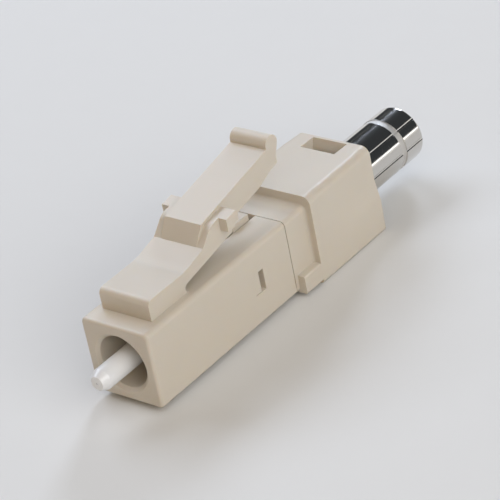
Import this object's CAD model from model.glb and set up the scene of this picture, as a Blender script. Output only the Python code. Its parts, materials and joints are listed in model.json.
"""A small-form fibre plug with a push-down latch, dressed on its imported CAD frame."""

import json
import math

import bmesh
import bpy
from bpy.props import FloatProperty, FloatVectorProperty, IntProperty, PointerProperty
from mathutils import Matrix, Vector
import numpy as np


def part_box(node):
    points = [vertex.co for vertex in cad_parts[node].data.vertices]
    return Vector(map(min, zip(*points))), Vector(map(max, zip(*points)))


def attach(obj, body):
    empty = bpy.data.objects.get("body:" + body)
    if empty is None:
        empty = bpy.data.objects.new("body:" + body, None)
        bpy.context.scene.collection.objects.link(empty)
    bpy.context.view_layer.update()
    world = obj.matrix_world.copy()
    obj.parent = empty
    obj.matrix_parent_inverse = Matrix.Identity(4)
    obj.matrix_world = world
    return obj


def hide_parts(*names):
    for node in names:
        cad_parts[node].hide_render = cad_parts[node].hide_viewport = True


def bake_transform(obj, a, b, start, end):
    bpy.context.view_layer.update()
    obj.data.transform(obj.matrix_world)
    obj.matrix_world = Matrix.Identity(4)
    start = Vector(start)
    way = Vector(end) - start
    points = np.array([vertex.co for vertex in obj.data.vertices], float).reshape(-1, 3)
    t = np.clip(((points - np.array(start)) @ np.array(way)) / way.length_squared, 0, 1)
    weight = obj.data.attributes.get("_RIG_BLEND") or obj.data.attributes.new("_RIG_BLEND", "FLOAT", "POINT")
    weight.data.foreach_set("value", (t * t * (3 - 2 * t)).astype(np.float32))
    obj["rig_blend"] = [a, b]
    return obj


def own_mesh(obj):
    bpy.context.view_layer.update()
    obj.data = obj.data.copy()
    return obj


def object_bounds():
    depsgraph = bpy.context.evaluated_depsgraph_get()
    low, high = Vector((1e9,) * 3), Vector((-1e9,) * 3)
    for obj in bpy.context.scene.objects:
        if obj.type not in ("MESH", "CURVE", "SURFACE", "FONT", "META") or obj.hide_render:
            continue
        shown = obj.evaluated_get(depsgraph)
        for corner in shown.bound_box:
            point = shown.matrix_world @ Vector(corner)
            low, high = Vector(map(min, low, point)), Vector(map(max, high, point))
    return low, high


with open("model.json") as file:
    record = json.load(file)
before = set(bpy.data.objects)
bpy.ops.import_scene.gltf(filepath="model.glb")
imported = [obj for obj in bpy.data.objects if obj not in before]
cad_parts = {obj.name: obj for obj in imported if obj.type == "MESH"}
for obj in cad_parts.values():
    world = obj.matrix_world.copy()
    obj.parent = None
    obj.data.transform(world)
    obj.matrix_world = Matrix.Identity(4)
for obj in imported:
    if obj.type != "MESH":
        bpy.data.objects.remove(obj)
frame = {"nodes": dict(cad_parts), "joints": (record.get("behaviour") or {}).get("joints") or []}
cad_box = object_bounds()

bl_info = {
    "name": "Fibre plug",
    "version": (1, 0, 0),
    "blender": (4, 5, 0),
    "location": "View3D > Sidebar > Fibre plug",
    "description": "Dresses the fibre plug's pieces and sets up the studio",
    "category": "Object",
}

# Modelling is done in millimetres, so that no tool meets its own smallest distance.
# Lengths below are in millimetres and angles in degrees, unless a comment says otherwise.
MM = 0.001

# The photograph's camera, placed in the row frame.
CAMERA_PLACE = (82.256, -74.649, 70.424)
CAMERA_AZIMUTH = 43.86
CAMERA_ELEVATION = 30.55
CAMERA_ROLL = -11.786
CAMERA_LENS = 185.7
# The nearest and furthest that the camera sees, in metres.
CAMERA_REACH = (1 * MM, 10)

# How meshes are cleaned: vertices nearer than this are one, and so are faces that turn by less.
SAME_PLACE = 0.0005
SAME_PLACE_IN_UNION = 0.0008
FLAT_TURN = 0.6
# How near a vertex is to the place that it is found by.
NEAR = 0.02
# Shading stays crisp over a turn of this much, on mouldings and on turned pieces.
MOULDED_CREASE = 80
TURNED_CREASE = 40
SMOOTH_ALL_OVER = 180
NORMAL_WEIGHT = 80

# The plug: half its width and height, which the neck shares, and the radius of the pocket in it. An open
# loop that lies further out than the pocket by the margin is the plug's outside.
PLUG_HALF = 2.25
POCKET_RADIUS = 1.55
POCKET_MARGIN = 0.1
# The front end, which is made anew: where it is cut off, the radius of its outer edge and the rows of
# faces round that.
FRONT_CUT = 0.25
FRONT_FILLET = 0.18
FRONT_STEPS = 5

# The latch. The shoulders beside the lever begin at this (y, z) place.
SHOULDER_CORNER = (6.72, 4.709)
# How far behind the hinge the vertices may lie that give the root's width.
HINGE_REACH = 0.01
# How far round a (y, z) place an edge across the plug is looked for, and the rows of faces on its roll.
CROSS_REACH = 0.03
CROSS_SEGMENTS = 5
# How far the pieces that fill the root go into their neighbours, and how high the slit's tip goes.
WEB_OVERLAP = 0.1
TIP_OVERLAP = 0.05
TIP_HEIGHT_IN_RADII = 2.2
TIP_VERTICES = 48
TIP_SPARE_WIDTH = 1
# The wedge that parts the arm: half its width, its rear and top, and how much its underside rises.
KEEPER_HALF = 5
KEEPER_REAR = 20
KEEPER_TOP = 12
KEEPER_RISE = 1.1
# Rows of faces along the stretch that bends.
BEND_ROWS = 9

# The mouldings' small rounded edges: the rows of faces on them, and how far an edge must turn to be one.
# Higher than the root, a faint edge is one too, if both flats beside it are wide.
EDGE_SEGMENTS = 3
PLUG_SHARP_TURN = 36
REAR_SHARP_TURN = 28
FAINT_TURN = 8
WIDE_FLAT = 0.25

# The rear moulding: where its rim stands, and the part of the neck's foot that has a fillet.
RIM_PLACE = 13.30
FOOT_ABOVE_UNDERSIDE = 0.5
FOOT_DEPTH = 0.6
FOOT_SEGMENTS = 5

# The crimp post, turned from these (radius, y) places: forwards to its wall, and back through its bore.
POST_NOSE = ((0.95, 10.68), (1.39, 10.68), (1.39, 17.00), (2.00, 17.00), (2.00, 17.60), (1.39, 17.60),
             (1.39, 19.15), (1.65, 19.15))
POST_END = ((1.65, 25.00), (1.10, 25.00), (1.10, 13.68), (0.95, 13.68))
POST_RING = (22.95, 23.35)
POST_VERTICES = 128
FLUTE_VERTICES = 24
FLUTE_SPARE_LENGTH = 0.3
# The radius of a rounded ring and its rows of faces, for the wall's end, the bore's end and the groove.
WALL_END_ROUND = (0.22, 7)
BORE_END_ROUND = (0.10, 3)
GROOVE_ROUND = (0.012, 2)

# The ferrule, turned from these (radius, y) places.
FERRULE_OUTLINE = ((0.063, -1.95), (0.40, -1.95), (0.625, -1.50), (0.625, 3.00), (0.605, 4.55),
                   (0.26, 4.55), (0.063, 3.85))
FERRULE_VERTICES = 96
BEVEL_ROUND = (0.02, 2)

# How far outside, inside and along the axis from its place a ring's vertices are looked for.
RING_OUTSIDE = 0.004
RING_INSIDE = 0.02
RING_ALONG = 0.002

# A colour Mix node's two colours and its result, by number, because its sockets share their names.
MIX_FIRST, MIX_SECOND, MIX_RESULT = 6, 7, 2

# The studio, in metres: the floor's width, and each lamp's name, place, size, power setting and colour.
FLOOR_WIDTH = 4
COOL = (0.88, 0.99, 1.18)
WHITE = (1.0, 1.0, 1.0)
LAMPS = (
    ("Key soft box", (0.24, -0.03, 0.30), (0.50, 0.46), "key_power", (0.95, 0.99, 1.05)),
    ("Sheen soft box", (-0.292, 0.07, 0.25), (0.34, 0.15), "sheen_power", COOL),
    ("Rear sheen soft box", (-0.175, 0.38, 0.20), (0.09, 0.12), "rear_sheen_power", COOL),
    ("Fill soft box", (0.35, -0.09, 0.19), (0.42, 0.22), "fill_power", WHITE),
    ("Low strip", (0.36, 0.29, 0.06), (0.34, 0.035), "strip_power", WHITE),
)


# Small tools for meshes and nodes.

def linear(code):
    """A colour with alpha in linear light from an sRGB hex code."""
    channels = [int(code[place:place + 2], 16) / 255 for place in (1, 3, 5)]
    curve = [c / 12.92 if c <= 0.04045 else ((c + 0.055) / 1.055) ** 2.4 for c in channels]
    return (*curve, 1.0)


def darker(colour, share):
    """A colour with alpha at a share of its brightness."""
    return tuple(channel * share for channel in colour[:3]) + (1.0,)


def add_node(tree, kind, settings=None, links=None):
    """Adds a node with its settings; names of inputs take values, and links takes sockets."""
    node = tree.nodes.new(kind)
    for key, value in (settings or {}).items():
        if isinstance(key, int) or key in node.inputs:
            node.inputs[key].default_value = value
        else:
            setattr(node, key, value)
    for key, source in (links or {}).items():
        tree.links.new(source, node.inputs[key])
    return node


def joint_named(name):
    """The frame's joint of that name."""
    return next(joint for joint in frame["joints"] if joint["name"] == name)


def deselect():
    """Leaves edit mode and deselects everything."""
    if bpy.context.object and bpy.context.object.mode != "OBJECT":
        bpy.ops.object.mode_set(mode="OBJECT")
    bpy.ops.object.select_all(action="DESELECT")


def activate(piece):
    """Makes a piece the active one and the only one selected."""
    deselect()
    piece.select_set(True)
    bpy.context.view_layer.objects.active = piece


def edit(piece, kind="FACE"):
    """Opens a piece in edit mode with nothing selected."""
    activate(piece)
    bpy.ops.object.mode_set(mode="EDIT")
    bpy.ops.mesh.select_mode(type=kind)
    bpy.ops.mesh.select_all(action="DESELECT")
    return bmesh.from_edit_mesh(piece.data)


def done(piece):
    """Closes edit mode and hands the piece on."""
    bpy.ops.object.mode_set(mode="OBJECT")
    return piece


def apply_modifier(piece, kind, **settings):
    """Adds a modifier with its settings and applies it."""
    activate(piece)
    modifier = piece.modifiers.new(kind.title(), kind)
    for key, value in settings.items():
        setattr(modifier, key, value)
    bpy.ops.object.modifier_apply(modifier=modifier.name)


def apply_place():
    """Puts the selected objects' place, turn and scale into their meshes."""
    bpy.ops.object.transform_apply(location=True, rotation=True, scale=True)


def merge(threshold):
    """In edit mode, selects all and makes one of the vertices that lie within the threshold."""
    bpy.ops.mesh.select_all(action="SELECT")
    bpy.ops.mesh.remove_doubles(threshold=threshold)


def copy_of(node, name):
    """A copy of a CAD node's mesh in millimetres, merged and with its flat faces made whole."""
    piece = bpy.data.objects.new(name, frame["nodes"][node].data.copy())
    bpy.context.scene.collection.objects.link(piece)
    piece.data.name = name
    piece.data.materials.clear()
    piece.data.transform(Matrix.Scale(1 / MM, 4))
    edit(piece, "VERT")
    merge(SAME_PLACE)
    bpy.ops.mesh.customdata_custom_splitnormals_clear()
    bpy.ops.mesh.dissolve_limited(angle_limit=math.radians(FLAT_TURN))
    return done(piece)


def block(name, low, high):
    """A box between two corners."""
    deselect()
    centre = [(a + b) / 2 for a, b in zip(low, high)]
    bpy.ops.mesh.primitive_cube_add(size=1, location=centre, scale=[b - a for a, b in zip(low, high)])
    piece = bpy.context.object
    piece.name = name
    apply_place()
    return piece


def combine(piece, other, operation):
    """Joins another closed piece into this one, cuts it out, or keeps only what both fill."""
    apply_modifier(piece, "BOOLEAN", operation=operation, solver="EXACT", object=other)


def union(piece, other):
    """Joins another closed piece into this one and removes it."""
    combine(piece, other, "UNION")
    bpy.data.objects.remove(other)


def cut(piece, other):
    """Cuts another closed piece out of this one and removes it."""
    combine(piece, other, "DIFFERENCE")
    bpy.data.objects.remove(other)


def select_edges(piece, test):
    """Selects the edges whose two ends pass the test, and fails if there are none."""
    chosen = [edge for edge in edit(piece, "EDGE").edges if test(*(end.co for end in edge.verts))]
    for edge in chosen:
        edge.select_set(True)
    if not chosen:
        raise RuntimeError("no edge to round on " + piece.name)
    bmesh.update_edit_mesh(piece.data)


def round_cross_edge(piece, place, offset):
    """Rounds the edges that run straight across the plug through a (y, z) place."""
    def across_here(a, b):
        middle = (a + b) / 2
        straight = abs(a.y - b.y) + abs(a.z - b.z) < NEAR < abs(a.x - b.x)
        return straight and all(abs(found - wanted) < CROSS_REACH
                                for found, wanted in zip((middle.y, middle.z), place))
    select_edges(piece, across_here)
    bpy.ops.mesh.bevel(offset=offset, segments=CROSS_SEGMENTS, affect="EDGES")
    done(piece)


def round_rings(piece, rings, offset, segments):
    """Rounds the rings that run round the axis through (radius, y) places."""
    def at_ring(end, radius, y):
        beyond = math.hypot(end.x, end.z) - radius
        return -RING_INSIDE < beyond < RING_OUTSIDE and abs(end.y - y) < RING_ALONG

    def on_ring(a, b):
        return any(at_ring(a, *ring) and at_ring(b, *ring) for ring in rings)
    select_edges(piece, on_ring)
    bpy.ops.mesh.bevel(offset=offset, segments=segments, affect="EDGES")
    done(piece)


def mark_crisp(piece, sharp, above=math.inf):
    """Marks the edges to be rounded: every sharp one, and above a height also faint ones between wide flats."""
    mesh = edit(piece, "EDGE")
    layers = mesh.edges.layers.float
    mark = layers.get("bevel_weight_edge") or layers.new("bevel_weight_edge")
    for edge in mesh.edges:
        angle = math.degrees(edge.calc_face_angle(0))
        widths = [face.calc_area() / max(side.calc_length() for side in face.edges)
                  for face in edge.link_faces]
        high = min(end.co.z for end in edge.verts) > above
        edge[mark] = float(angle > sharp or (high and angle > FAINT_TURN and min(widths) > WIDE_FLAT))
    bmesh.update_edit_mesh(piece.data)
    done(piece)


def round_crisp(piece, width):
    """Rounds the marked edges."""
    apply_modifier(piece, "BEVEL", width=width, segments=EDGE_SEGMENTS, limit_method="WEIGHT",
                   miter_outer="MITER_ARC", use_clamp_overlap=True, loop_slide=True)


def even_shading(piece, crease):
    """Smooth shading in which the flats stay flat, and edges that turn more than the crease stay crisp."""
    activate(piece)
    bpy.ops.object.shade_smooth_by_angle(angle=math.radians(crease))
    apply_modifier(piece, "WEIGHTED_NORMAL", mode="FACE_AREA", weight=NORMAL_WEIGHT,
                   keep_sharp=crease < SMOOTH_ALL_OVER)


def finish_piece(piece, name, body, material):
    """Turns a piece from millimetres to metres, dresses it and seats it on its body, if it has only one."""
    piece.name = name
    piece.data.name = name
    piece.data.transform(Matrix.Scale(MM, 4))
    piece.data.materials.clear()
    piece.data.materials.append(material)
    if body:
        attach(piece, body)
    return piece


def extrude_on(y, size, next_y, next_size):
    """In edit mode, extrudes the selected loop along the axis and lets it grow or shrink round it."""
    bpy.ops.mesh.extrude_edges_move(TRANSFORM_OT_translate={"value": (0, next_y - y, 0)})
    growth = next_size / size
    if growth != 1:
        bpy.ops.transform.resize(value=(growth, 1, growth), center_override=(0, next_y, 0))


def turned(name, outline, vertices):
    """A turned piece: a ring of vertices drawn through the (radius, y) places of its outline."""
    deselect()
    radius, y = outline[0]
    bpy.ops.mesh.primitive_circle_add(vertices=vertices, radius=radius, location=(0, y, 0),
                                      rotation=(math.radians(90), 0, 0))
    piece = bpy.context.object
    apply_place()
    edit(piece, "EDGE")
    bpy.ops.mesh.select_all(action="SELECT")
    for next_radius, next_y in outline[1:] + outline[:1]:
        extrude_on(y, radius, next_y, next_radius)
        radius, y = next_radius, next_y
    merge(SAME_PLACE)
    bpy.ops.mesh.normals_make_consistent(inside=False)
    done(piece)
    piece.name = name
    return piece


# Materials.

def new_material(name):
    """An empty node material and its shader, joined to the output."""
    material = bpy.data.materials.new(name)
    material.use_nodes = True
    tree = material.node_tree
    tree.nodes.clear()
    shader = add_node(tree, "ShaderNodeBsdfPrincipled")
    add_node(tree, "ShaderNodeOutputMaterial", links={"Surface": shader.outputs["BSDF"]})
    return material, tree, shader


def moulded_plastic(colour):
    """Beige glass-filled PBT from a spark-eroded mould: even, satin, with a very fine grain."""
    material, tree, shader = new_material("Moulded PBT, spark-eroded satin")
    shader.inputs["IOR"].default_value = 1.58
    shader.inputs["Subsurface Weight"].default_value = 0.25
    shader.inputs["Subsurface Radius"].default_value = (1.0, 0.62, 0.34)
    shader.inputs["Subsurface Scale"].default_value = 0.35 * MM
    place = add_node(tree, "ShaderNodeTexCoord").outputs["Object"]
    # Pigment clouds about 2.5 mm across, hardly darker than the rest.
    clouds = add_node(tree, "ShaderNodeTexNoise", {"Scale": 1 / (2.5 * MM), "Detail": 3.0}, {"Vector": place})
    tint = add_node(tree, "ShaderNodeMix",
                    {"data_type": "RGBA", MIX_FIRST: colour, MIX_SECOND: darker(colour, 0.965)},
                    {"Factor": clouds.outputs["Fac"]})
    tree.links.new(tint.outputs[MIX_RESULT], shader.inputs["Base Color"])
    # The eroded grain is about 0.02 mm; it is drawn at 0.06 mm so that it shows.
    grain = add_node(tree, "ShaderNodeTexNoise", {"Scale": 1 / (0.06 * MM), "Detail": 2.0}, {"Vector": place})
    rough = add_node(tree, "ShaderNodeMapRange", {"To Min": 0.34, "To Max": 0.44},
                     {"Value": grain.outputs["Fac"]})
    tree.links.new(rough.outputs["Result"], shader.inputs["Roughness"])
    bump = add_node(tree, "ShaderNodeBump", {"Strength": 0.10, "Distance": 0.004 * MM},
                    {"Height": grain.outputs["Fac"]})
    tree.links.new(bump.outputs["Normal"], shader.inputs["Normal"])
    return material


def ground_ceramic(colour):
    """White zirconia, ground round and polished at the tip: dense, bright, with a clean gloss."""
    material, tree, shader = new_material("Zirconia, centreless ground")
    shader.inputs["IOR"].default_value = 2.1
    shader.inputs["Subsurface Weight"].default_value = 0.15
    shader.inputs["Subsurface Radius"].default_value = (1.0, 0.95, 0.9)
    shader.inputs["Subsurface Scale"].default_value = 0.2 * MM
    place = add_node(tree, "ShaderNodeTexCoord").outputs["Object"]
    # Grinding rings run round the axis, about 0.05 mm apart.
    stretched = add_node(tree, "ShaderNodeMapping", {"Scale": (0.05, 1.0, 0.05)}, {"Vector": place})
    rings = add_node(tree, "ShaderNodeTexNoise", {"Scale": 1 / (0.05 * MM), "Detail": 2.0},
                     {"Vector": stretched.outputs["Vector"]})
    rough = add_node(tree, "ShaderNodeMapRange", {"To Min": 0.34, "To Max": 0.46},
                     {"Value": rings.outputs["Fac"]})
    tree.links.new(rough.outputs["Result"], shader.inputs["Roughness"])
    shade = add_node(tree, "ShaderNodeMix",
                     {"data_type": "RGBA", MIX_FIRST: colour, MIX_SECOND: darker(colour, 0.97)},
                     {"Factor": rings.outputs["Fac"]})
    tree.links.new(shade.outputs[MIX_RESULT], shader.inputs["Base Color"])
    return material


def turned_metal(name, colour, low, high, ring_width, matt_ring=None):
    """Turned metal: mirror-like, with the lathe's rings faintly in its gloss and perhaps one matt ring."""
    material, tree, shader = new_material(name)
    shader.inputs["Metallic"].default_value = 1.0
    place = add_node(tree, "ShaderNodeTexCoord").outputs["Object"]
    # Squeezing the pattern across the axis draws it out into rings round the piece.
    stretched = add_node(tree, "ShaderNodeMapping", {"Scale": (0.04, 1.0, 0.04)}, {"Vector": place})
    rings = add_node(tree, "ShaderNodeTexNoise", {"Scale": 1 / ring_width, "Detail": 3.0},
                     {"Vector": stretched.outputs["Vector"]})
    rough = add_node(tree, "ShaderNodeMapRange", {"To Min": low, "To Max": high},
                     {"Value": rings.outputs["Fac"]})
    gloss = rough.outputs["Result"]
    if matt_ring:
        # The ring was blasted before plating, so it stays matt.
        along = add_node(tree, "ShaderNodeSeparateXYZ", links={0: place})
        inside = add_node(tree, "ShaderNodeMath",
                          {"operation": "COMPARE", 1: sum(matt_ring) / 2, 2: (matt_ring[1] - matt_ring[0]) / 2},
                          {0: along.outputs["Y"]})
        gloss = add_node(tree, "ShaderNodeMix", {"data_type": "FLOAT", "B": 0.62},
                         {"Factor": inside.outputs[0], "A": gloss}).outputs[0]
    tree.links.new(gloss, shader.inputs["Roughness"])
    shade = add_node(tree, "ShaderNodeMix",
                     {"data_type": "RGBA", MIX_FIRST: colour, MIX_SECOND: darker(colour, 0.9)},
                     {"Factor": rings.outputs["Fac"]})
    tree.links.new(shade.outputs[MIX_RESULT], shader.inputs["Base Color"])
    bump = add_node(tree, "ShaderNodeBump", {"Strength": 0.06, "Distance": 0.003 * MM},
                    {"Height": rings.outputs["Fac"]})
    tree.links.new(bump.outputs["Normal"], shader.inputs["Normal"])
    return material


def milky_tube(colour):
    """Extruded fluoropolymer tube: milky, waxy and soft-edged in light."""
    material, tree, shader = new_material("PTFE, extruded")
    shader.inputs["IOR"].default_value = 1.38
    shader.inputs["Subsurface Weight"].default_value = 0.4
    shader.inputs["Subsurface Radius"].default_value = (1.0, 1.0, 0.95)
    shader.inputs["Subsurface Scale"].default_value = 0.3 * MM
    place = add_node(tree, "ShaderNodeTexCoord").outputs["Object"]
    # Waxy patches left by the extrusion, about 0.4 mm across.
    waxy = add_node(tree, "ShaderNodeTexNoise", {"Scale": 1 / (0.4 * MM), "Detail": 2.0}, {"Vector": place})
    rough = add_node(tree, "ShaderNodeMapRange", {"To Min": 0.3, "To Max": 0.42},
                     {"Value": waxy.outputs["Fac"]})
    tree.links.new(rough.outputs["Result"], shader.inputs["Roughness"])
    shade = add_node(tree, "ShaderNodeMix",
                     {"data_type": "RGBA", MIX_FIRST: colour, MIX_SECOND: darker(colour, 0.94)},
                     {"Factor": waxy.outputs["Fac"]})
    tree.links.new(shade.outputs[MIX_RESULT], shader.inputs["Base Color"])
    return material


# Sizes and colours that a user would change. A property of a length holds metres.

class HousingSettings(bpy.types.PropertyGroup):
    colour: FloatVectorProperty(
        name="Plastic colour", description="Colour of the beige moulding",
        default=linear("#CFC6B7"), size=4, min=0, max=1, subtype="COLOR")
    edge_radius: FloatProperty(
        name="Edge softness", description="Radius of the mouldings' small edges",
        default=0.05 * MM, min=0.01 * MM, max=0.12 * MM, precision=6, unit="LENGTH")
    slit_radius: FloatProperty(
        name="Slit radius", description="Radius where the slit under the latch arm begins",
        default=0.24 * MM, min=0.1 * MM, max=0.24 * MM, precision=6, unit="LENGTH")
    ramp_start: FloatProperty(
        name="Ramp start", description="Where the latch arm's top begins to rise, behind the plug's face",
        default=4.2 * MM, precision=6, unit="LENGTH")
    ramp_softness: FloatProperty(
        name="Ramp softness", description="Length of the soft turn at the ramp's start",
        default=0.4 * MM, precision=6, unit="LENGTH")
    shoulder_softness: FloatProperty(
        name="Shoulder softness", description="Length of the roll where the shoulders begin",
        default=0.28 * MM, min=0.02 * MM, max=0.4 * MM, precision=6, unit="LENGTH")
    rim_fillet: FloatProperty(
        name="Rim fillet", description="Radius of the hollow where the neck meets the rim",
        default=0.16 * MM, min=0.02 * MM, max=0.3 * MM, precision=6, unit="LENGTH")
    bend_end: FloatProperty(
        name="Bend end", description="Where the latch arm has bent fully, behind the plug's face",
        default=4.9 * MM, precision=6, unit="LENGTH")


class PostSettings(bpy.types.PropertyGroup):
    colour: FloatVectorProperty(
        name="Nickel colour", description="Colour of the plated post",
        default=linear("#D8D4CE"), size=4, min=0, max=1, subtype="COLOR")
    flutes: IntProperty(
        name="Flutes", description="Number of fine grooves along the post", default=8, min=3, max=24)
    flute_radius: FloatProperty(
        name="Flute radius", description="Radius of each fine groove's round floor",
        default=0.10 * MM, min=0.03 * MM, max=0.2 * MM, precision=6, unit="LENGTH")
    flute_depth: FloatProperty(
        name="Flute depth", description="Depth of each fine groove",
        default=0.06 * MM, min=0.01 * MM, max=0.1 * MM, precision=6, unit="LENGTH")
    ring_depth: FloatProperty(
        name="Ring depth", description="Depth of the matt ring",
        default=0.045 * MM, min=0, max=0.1 * MM, precision=6, unit="LENGTH")


class FerruleSettings(bpy.types.PropertyGroup):
    colour: FloatVectorProperty(
        name="Ceramic colour", description="Colour of the zirconia",
        default=linear("#E6E7E8"), size=4, min=0, max=1, subtype="COLOR")


class StudioSettings(bpy.types.PropertyGroup):
    floor_colour: FloatVectorProperty(
        name="Floor colour", description="Colour of the studio floor",
        default=linear("#DEDEDC"), size=4, min=0, max=1, subtype="COLOR")
    key_power: FloatProperty(
        name="Key light", description="Power of the large soft box high on the right",
        default=0.80, min=0, unit="POWER")
    sheen_power: FloatProperty(
        name="Sheen light", description="Power of the soft box that lays a sheen on the flat tops",
        default=0.74, min=0, unit="POWER")
    rear_sheen_power: FloatProperty(
        name="Rear sheen light", description="Power of the small soft box behind",
        default=0.66, min=0, unit="POWER")
    fill_power: FloatProperty(
        name="Fill light", description="Power of the soft box on the camera's right",
        default=0.58, min=0, unit="POWER")
    strip_power: FloatProperty(
        name="Strip light", description="Power of the low strip behind the object",
        default=0.07, min=0, unit="POWER")
    backdrop_height: FloatProperty(
        name="Backdrop height", description="How high metal sees the pale backdrop, 1 being overhead",
        default=0.12, min=0, max=1, subtype="FACTOR")
    room_front: FloatVectorProperty(
        name="Room in front", description="Light of the room before the object",
        default=(0.27, 0.165, 0.05), size=3, min=0, subtype="COLOR")
    room_rear: FloatVectorProperty(
        name="Room behind", description="Light of the room behind the object",
        default=(0.045, 0.05, 0.055), size=3, min=0, subtype="COLOR")


# The housing and its latch.

def housing_material(context):
    """The one plastic of both mouldings."""
    made = bpy.data.materials.get("Moulded PBT, spark-eroded satin")
    return made or moulded_plastic(tuple(context.scene.plug_housing.colour))


def select_open_edges(piece, on_loop=lambda radius: True):
    """Opens a piece and selects its open edges, or those whose ends pass a test of their distance to the axis."""
    for edge in edit(piece, "EDGE").edges:
        if edge.is_boundary and all(on_loop(math.hypot(end.co.x, end.co.z)) for end in edge.verts):
            edge.select_set(True)
    bmesh.update_edit_mesh(piece.data)


def draw_out(piece, on_loop, places):
    """Draws an open loop forwards through (y, size) places, the first being the loop's own."""
    select_open_edges(piece, on_loop)
    for (y, size), (next_y, next_size) in zip(places, places[1:]):
        extrude_on(y, size, next_y, next_size)
    done(piece)


def renew_front(piece):
    """Makes the plug's front end anew from a clean section, as the CAD mesh is folded at its upper corners."""
    edit(piece, "VERT")
    bpy.ops.mesh.select_all(action="SELECT")
    bpy.ops.mesh.bisect(plane_co=(0, FRONT_CUT, 0), plane_no=(0, 1, 0), clear_inner=True)
    done(piece)
    turns = [math.radians(90 * step / FRONT_STEPS) for step in range(FRONT_STEPS + 1)]
    rounded = [(FRONT_FILLET * (1 - math.sin(turn)), PLUG_HALF - FRONT_FILLET * (1 - math.cos(turn)))
               for turn in turns]
    draw_out(piece, lambda radius: radius > POCKET_RADIUS + POCKET_MARGIN,
             [(FRONT_CUT, PLUG_HALF)] + rounded)
    draw_out(piece, lambda radius: radius < POCKET_RADIUS + POCKET_MARGIN,
             [(FRONT_CUT, POCKET_RADIUS), (FRONT_FILLET, POCKET_RADIUS), (0, POCKET_RADIUS + FRONT_FILLET)])
    select_open_edges(piece)
    bpy.ops.mesh.fill(use_beauty=True)
    bpy.ops.mesh.select_all(action="SELECT")
    bpy.ops.mesh.normals_make_consistent(inside=False)
    done(piece)


def slit_tip(radius, half, start_y, plug_top):
    """Fills the corners where the slit under the arm begins, round a smooth hollow."""
    tip = block("slit_tip", (-half, start_y - TIP_OVERLAP, plug_top - TIP_OVERLAP),
                (half, start_y + radius, plug_top + TIP_HEIGHT_IN_RADII * radius))
    deselect()
    bpy.ops.mesh.primitive_cylinder_add(
        vertices=TIP_VERTICES, radius=radius, depth=2 * half + TIP_SPARE_WIDTH,
        rotation=(0, math.radians(90), 0), location=(0, start_y + radius, plug_top + radius))
    hollow = bpy.context.object
    apply_place()
    cut(tip, hollow)
    return tip


def arm_keeper(start_y, tip_z):
    """A wedge over the slit that holds all of the arm: it meets the moulding only at the slit's tip."""
    keeper = block("arm_keeper", (-KEEPER_HALF, start_y, tip_z), (KEEPER_HALF, KEEPER_REAR, KEEPER_TOP))
    for vertex in edit(keeper, "VERT").verts:
        vertex.select_set(vertex.co.y > (start_y + KEEPER_REAR) / 2
                          and vertex.co.z < (tip_z + KEEPER_TOP) / 2)
    bmesh.update_edit_mesh(keeper.data)
    bpy.ops.transform.translate(value=(0, 0, KEEPER_RISE))
    return done(keeper)


def part_arm(piece, start_y, tip_z):
    """Parts the moulding at the slit's tip, flush, so that the arm bends and the tube stays."""
    arm = bpy.data.objects.new("arm_half", piece.data.copy())
    bpy.context.scene.collection.objects.link(arm)
    keeper = arm_keeper(start_y, tip_z)
    combine(arm, keeper, "INTERSECT")
    cut(piece, keeper)
    return arm


def add_bend_rows(arm, start_y, end_y):
    """Cuts across the root, which give the bending stretch enough rows of faces."""
    edit(arm)
    for row in range(1, BEND_ROWS):
        bpy.ops.mesh.select_all(action="SELECT")
        place = start_y + (end_y - start_y) * row / BEND_ROWS
        bpy.ops.mesh.bisect(plane_co=(0, place, 0), plane_no=(0, 1, 0))
    done(arm)


class PLUG_OT_housing(bpy.types.Operator):
    """Makes the plug and its latch as the one moulding they are, and parts it where the latch bends"""
    bl_idname = "plug.housing"
    bl_label = "Plug and latch"

    def execute(self, context):
        settings = context.scene.plug_housing
        piece = copy_of("front_housing", "plug_moulding")
        renew_front(piece)
        latch = copy_of("latch_arm", "latch_half")
        latch_low, latch_high = (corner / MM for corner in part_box("latch_arm"))
        plug_low, plug_high = (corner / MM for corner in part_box("front_housing"))
        root_top = plug_high.z
        hinge = Vector(joint_named("latch_press")["pos_m"]) / MM
        # The plug is as high above its axis as below it, and the slit starts at the hinge.
        plug_top = -plug_low.z
        half = min([latch_high.x] + [abs(vertex.co.x) for vertex in latch.data.vertices
                                     if vertex.co.y < hinge.y + HINGE_REACH])
        # The web fills the hollow in which the CAD model's latch turns.
        web = block("root_web", (-half, latch_low.y - WEB_OVERLAP, latch_low.z - WEB_OVERLAP),
                    (half, hinge.y, root_top))
        union(piece, latch)
        union(piece, web)
        union(piece, slit_tip(settings.slit_radius / MM, half, hinge.y, plug_top))
        edit(piece, "VERT")
        merge(SAME_PLACE_IN_UNION)
        bpy.ops.mesh.dissolve_limited(angle_limit=math.radians(FLAT_TURN))
        done(piece)
        round_cross_edge(piece, (settings.ramp_start / MM, root_top), settings.ramp_softness / MM)
        round_cross_edge(piece, SHOULDER_CORNER, settings.shoulder_softness / MM)
        mark_crisp(piece, PLUG_SHARP_TURN, above=root_top)
        round_crisp(piece, settings.edge_radius / MM)
        arm = part_arm(piece, hinge.y, plug_top + settings.slit_radius / MM)
        add_bend_rows(arm, hinge.y, settings.bend_end / MM)
        even_shading(piece, MOULDED_CREASE)
        even_shading(arm, MOULDED_CREASE)
        finish_piece(piece, "plug_moulding", "housing", housing_material(context))
        finish_piece(arm, "latch_moulding", None, housing_material(context))
        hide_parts("front_housing")
        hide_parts("latch_arm")
        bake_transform(arm, "housing", "latch", start=(0, hinge.y * MM, hinge.z * MM),
                 end=(0, settings.bend_end, hinge.z * MM))
        return {"FINISHED"}


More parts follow.
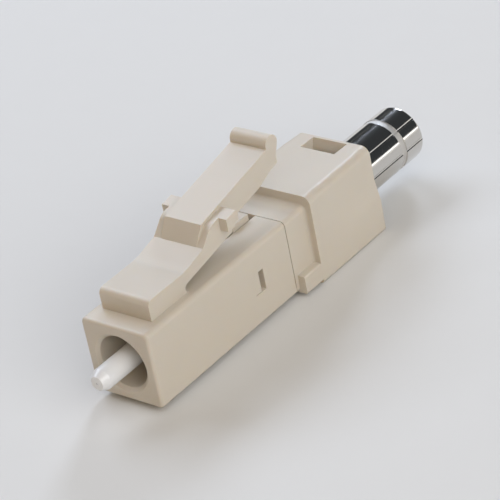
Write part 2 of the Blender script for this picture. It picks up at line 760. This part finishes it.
def fill_rim_foot(piece, radius):
    """Hollows out the inner corner where the neck meets the rim."""
    def foot(end):
        return (abs(end.y - RIM_PLACE) < NEAR and max(abs(end.x), end.z) < PLUG_HALF + NEAR
                and end.z > -PLUG_HALF + FOOT_ABOVE_UNDERSIDE
                and max(abs(end.x), abs(end.z)) > PLUG_HALF - FOOT_DEPTH)
    select_edges(piece, lambda a, b: foot(a) and foot(b))
    bpy.ops.mesh.bevel(offset=radius, segments=FOOT_SEGMENTS, affect="EDGES")
    done(piece)


class PLUG_OT_rear_moulding(bpy.types.Operator):
    """Makes the rear moulding with softened edges"""
    bl_idname = "plug.rear_moulding"
    bl_label = "Rear moulding"

    def execute(self, context):
        settings = context.scene.plug_housing
        piece = copy_of("rear_housing", "rear_moulding")
        fill_rim_foot(piece, settings.rim_fillet / MM)
        mark_crisp(piece, REAR_SHARP_TURN)
        round_crisp(piece, settings.edge_radius / MM)
        even_shading(piece, SMOOTH_ALL_OVER)
        finish_piece(piece, "rear_moulding", "housing", housing_material(context))
        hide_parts("rear_housing")
        return {"FINISHED"}


# The turned pieces and what is inside.

def flute_cutter(settings, wall_radius, front_y, rear_y):
    """One round bar for each flute, all in one mesh, standing round the post."""
    radius = settings.flute_radius / MM
    reach = wall_radius - settings.flute_depth / MM + radius
    deselect()
    bars = []
    for index in range(settings.flutes):
        turn = 2 * math.pi * index / settings.flutes
        bpy.ops.mesh.primitive_cylinder_add(
            vertices=FLUTE_VERTICES, radius=radius, depth=rear_y - front_y, rotation=(math.radians(90), 0, 0),
            location=(reach * math.sin(turn), (front_y + rear_y) / 2, reach * math.cos(turn)))
        bars.append(bpy.context.object)
    for bar in bars:
        bar.select_set(True)
    bpy.ops.object.join()
    apply_place()
    return bpy.context.object


class PLUG_OT_post(bpy.types.Operator):
    """Makes the crimp post with its flutes, ring groove and rounded end"""
    bl_idname = "plug.post"
    bl_label = "Crimp post"

    def execute(self, context):
        settings = context.scene.plug_post
        wall_radius, wall_y = POST_NOSE[-1]
        (_, end_y), (bore_radius, _) = POST_END[:2]
        floor_radius = wall_radius - settings.ring_depth / MM
        groove = tuple((wall_radius, place) for place in POST_RING)
        floor = tuple((floor_radius, place) for place in POST_RING)
        piece = turned("crimp_post_visual", POST_NOSE + groove[:1] + floor + groove[1:] + POST_END, POST_VERTICES)
        round_rings(piece, [(wall_radius, end_y)], *WALL_END_ROUND)
        round_rings(piece, [(bore_radius, end_y)], *BORE_END_ROUND)
        round_rings(piece, groove, *GROOVE_ROUND)
        cut(piece, flute_cutter(settings, wall_radius, wall_y - FLUTE_SPARE_LENGTH, end_y + FLUTE_SPARE_LENGTH))
        even_shading(piece, TURNED_CREASE)
        # Nickel over brass: a bright grey mirror, with turning rings about 0.05 mm apart.
        material = turned_metal("Brass, bright nickel plate", tuple(settings.colour), 0.06, 0.14, 0.05 * MM,
                                matt_ring=[place * MM for place in POST_RING])
        finish_piece(piece, "crimp_sleeve_post", "housing", material)
        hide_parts("crimp_post")
        return {"FINISHED"}


class PLUG_OT_ferrule(bpy.types.Operator):
    """Makes the ceramic ferrule with its bevelled and polished tip"""
    bl_idname = "plug.ferrule"
    bl_label = "Ferrule"

    def execute(self, context):
        piece = turned("ceramic_ferrule", FERRULE_OUTLINE, FERRULE_VERTICES)
        round_rings(piece, FERRULE_OUTLINE[1:3], *BEVEL_ROUND)
        even_shading(piece, TURNED_CREASE)
        finish_piece(piece, "ceramic_ferrule", "ferrule_assembly",
                     ground_ceramic(tuple(context.scene.plug_ferrule.colour)))
        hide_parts("ferrule")
        return {"FINISHED"}


class PLUG_OT_spring(bpy.types.Operator):
    """Makes the coil spring, which is pressed together as the ferrule is pushed in"""
    bl_idname = "plug.spring"
    bl_label = "Spring"

    def execute(self, context):
        piece = copy_of("spring", "coil_spring")
        even_shading(piece, MOULDED_CREASE)
        # Drawn steel wire: a soft grey gloss, with drawing marks about 0.1 mm apart.
        finish_piece(piece, "coil_spring", "housing",
                     turned_metal("Spring steel wire, drawn", linear("#A8A6A2"), 0.2, 0.32, 0.1 * MM))
        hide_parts("spring")
        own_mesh(piece)
        return {"FINISHED"}


class PLUG_OT_inner_parts(bpy.types.Operator):
    """Gives the holder and the guide tube their finishes"""
    bl_idname = "plug.inner_parts"
    bl_label = "Inner parts"

    def execute(self, context):
        finishes = {
            # Turned stainless steel: a satin grey, with turning rings about 0.08 mm apart.
            "ferrule_holder": turned_metal("Stainless steel, turned", linear("#B9B6AE"), 0.24, 0.38, 0.08 * MM),
            "guide_tube": milky_tube(linear("#E6E4DE")),
        }
        for node, material in finishes.items():
            for slot in frame["nodes"][node].material_slots:
                slot.material = material
        return {"FINISHED"}


# The studio.

def camera_axes():
    """The camera's right, up and back directions from its azimuth, elevation and roll."""
    azimuth, elevation, roll = (math.radians(angle) for angle in
                                (CAMERA_AZIMUTH, CAMERA_ELEVATION, CAMERA_ROLL))
    back = Vector((math.sin(azimuth) * math.cos(elevation), -math.cos(azimuth) * math.cos(elevation),
                   math.sin(elevation)))
    right = Vector((math.cos(azimuth), math.sin(azimuth), 0))
    up = back.cross(right)
    turned_right = right * math.cos(roll) + up * math.sin(roll)
    turned_up = up * math.cos(roll) - right * math.sin(roll)
    return turned_right, turned_up, back


def add_camera(scene):
    """The camera at the photograph's place and angle."""
    lens = bpy.data.cameras.new("Photograph camera")
    lens.lens = CAMERA_LENS
    lens.clip_start, lens.clip_end = CAMERA_REACH
    camera = bpy.data.objects.new("Photograph camera", lens)
    scene.collection.objects.link(camera)
    camera.matrix_world = Matrix.Translation(Vector(CAMERA_PLACE) * MM) @ Matrix(
        camera_axes()).transposed().to_4x4()
    scene.camera = camera


def soft_box(scene, name, place, size, power, colour):
    """A flat lamp, as wide and high as given, that looks at the middle of the object."""
    lamp = bpy.data.lights.new(name, "AREA")
    lamp.shape = "RECTANGLE"
    lamp.size, lamp.size_y = size
    lamp.energy = power
    lamp.color = colour
    holder = bpy.data.objects.new(name, lamp)
    scene.collection.objects.link(holder)
    holder.location = place
    middle = (cad_box[0] + cad_box[1]) / 2
    holder.rotation_euler = (middle - Vector(place)).to_track_quat("-Z", "Y").to_euler()


def add_floor(colour):
    """A matt pale paper floor under the object."""
    deselect()
    bpy.ops.mesh.primitive_plane_add(size=FLOOR_WIDTH, location=(0, 0, cad_box[0].z))
    floor = bpy.context.object
    floor.name = "studio_floor"
    # Matt paper: an even pale tone, with clouds of fibre about 2.5 mm across.
    material, tree, shader = new_material("Studio paper, matt")
    shader.inputs["Roughness"].default_value = 0.9
    place = add_node(tree, "ShaderNodeTexCoord").outputs["Object"]
    fibres = add_node(tree, "ShaderNodeTexNoise", {"Scale": 1 / (2.5 * MM), "Detail": 3.0}, {"Vector": place})
    tone = add_node(tree, "ShaderNodeMix",
                    {"data_type": "RGBA", MIX_FIRST: colour, MIX_SECOND: darker(colour, 0.985)},
                    {"Factor": fibres.outputs["Fac"]})
    tree.links.new(tone.outputs[MIX_RESULT], shader.inputs["Base Color"])
    floor.data.materials.append(material)
    apply_place()


def add_room(scene, settings):
    """A dim room that lights the object, and a pale backdrop for the camera, metal and glass."""
    world = bpy.data.worlds.new("Studio room")
    scene.world = world
    world.use_nodes = True
    tree = world.node_tree
    tree.nodes.clear()
    path = add_node(tree, "ShaderNodeLightPath")
    way = add_node(tree, "ShaderNodeTexCoord")
    along = add_node(tree, "ShaderNodeSeparateXYZ", links={0: way.outputs["Generated"]})
    # The metal mirrors the pale backdrop too, which stands low round the floor.
    low = add_node(tree, "ShaderNodeMath", {"operation": "LESS_THAN", 1: settings.backdrop_height},
                   {0: along.outputs["Z"]})
    mirrored = add_node(tree, "ShaderNodeMath", {"operation": "MULTIPLY"},
                        {0: path.outputs["Is Glossy Ray"], 1: low.outputs[0]})
    looked = add_node(tree, "ShaderNodeMath", {"operation": "MAXIMUM"},
                      {0: path.outputs["Is Camera Ray"], 1: path.outputs["Is Transmission Ray"]})
    seen = add_node(tree, "ShaderNodeMath", {"operation": "MAXIMUM"},
                    {0: looked.outputs[0], 1: mirrored.outputs[0]})
    # The room turns from warm in front to neutral behind, between these two values of a direction's Y.
    behind = add_node(tree, "ShaderNodeMapRange", {"From Min": -0.3, "From Max": 0.4},
                      {"Value": along.outputs["Y"]})
    # Metal mirrors a neutral dark room all round, so that the nickel stays grey.
    dim = add_node(tree, "ShaderNodeMath", {"operation": "MAXIMUM"},
                   {0: behind.outputs["Result"], 1: path.outputs["Is Glossy Ray"]})
    tone = add_node(tree, "ShaderNodeMix",
                    {"data_type": "RGBA", MIX_FIRST: (*settings.room_front, 1.0),
                     MIX_SECOND: (*settings.room_rear, 1.0)},
                    {"Factor": dim.outputs[0]})
    room = add_node(tree, "ShaderNodeBackground", links={"Color": tone.outputs[MIX_RESULT]})
    pale = add_node(tree, "ShaderNodeBackground", {"Color": (*WHITE, 1.0), "Strength": 0.9})
    both = add_node(tree, "ShaderNodeMixShader",
                    links={0: seen.outputs[0], 1: room.outputs[0], 2: pale.outputs[0]})
    add_node(tree, "ShaderNodeOutputWorld", links={"Surface": both.outputs[0]})


class PLUG_OT_studio(bpy.types.Operator):
    """Sets up the floor, the soft light and the camera"""
    bl_idname = "plug.studio"
    bl_label = "Studio"

    def execute(self, context):
        scene = context.scene
        settings = scene.plug_studio
        add_floor(tuple(settings.floor_colour))
        add_room(scene, settings)
        for name, place, size, power, colour in LAMPS:
            soft_box(scene, name, place, size, getattr(settings, power), colour)
        add_camera(scene)
        scene.view_settings.view_transform = "Standard"
        return {"FINISHED"}


# The add-on.

class PLUG_PT_sidebar(bpy.types.Panel):
    """Lists the pieces and their settings"""
    bl_idname = "PLUG_PT_sidebar"
    bl_label = "Fibre plug"
    bl_space_type = "VIEW_3D"
    bl_region_type = "UI"
    bl_category = "Fibre plug"

    def draw(self, context):
        for maker, group in MAKERS:
            column = self.layout.column(align=True)
            column.operator(maker.bl_idname)
            settings = getattr(context.scene, group) if group else None
            for name in (settings.__annotations__ if settings else ()):
                column.prop(settings, name)


# The operators in the order in which they run, each with the group of settings listed under it.
MAKERS = (
    (PLUG_OT_housing, "plug_housing"),
    (PLUG_OT_rear_moulding, None),
    (PLUG_OT_post, "plug_post"),
    (PLUG_OT_ferrule, "plug_ferrule"),
    (PLUG_OT_spring, None),
    (PLUG_OT_inner_parts, None),
    (PLUG_OT_studio, "plug_studio"),
)
GROUPS = {
    "plug_housing": HousingSettings,
    "plug_post": PostSettings,
    "plug_ferrule": FerruleSettings,
    "plug_studio": StudioSettings,
}


def register():
    for name, group in GROUPS.items():
        bpy.utils.register_class(group)
        setattr(bpy.types.Scene, name, PointerProperty(type=group))
    for maker, _ in MAKERS:
        bpy.utils.register_class(maker)
    bpy.utils.register_class(PLUG_PT_sidebar)


def unregister():
    bpy.utils.unregister_class(PLUG_PT_sidebar)
    for maker, _ in reversed(MAKERS):
        bpy.utils.unregister_class(maker)
    for name, group in reversed(GROUPS.items()):
        delattr(bpy.types.Scene, name)
        bpy.utils.unregister_class(group)


def main():
    register()
    for maker, _ in MAKERS:
        section, action = maker.bl_idname.split(".")
        getattr(getattr(bpy.ops, section), action)()


if __name__ == "__main__":
    main()
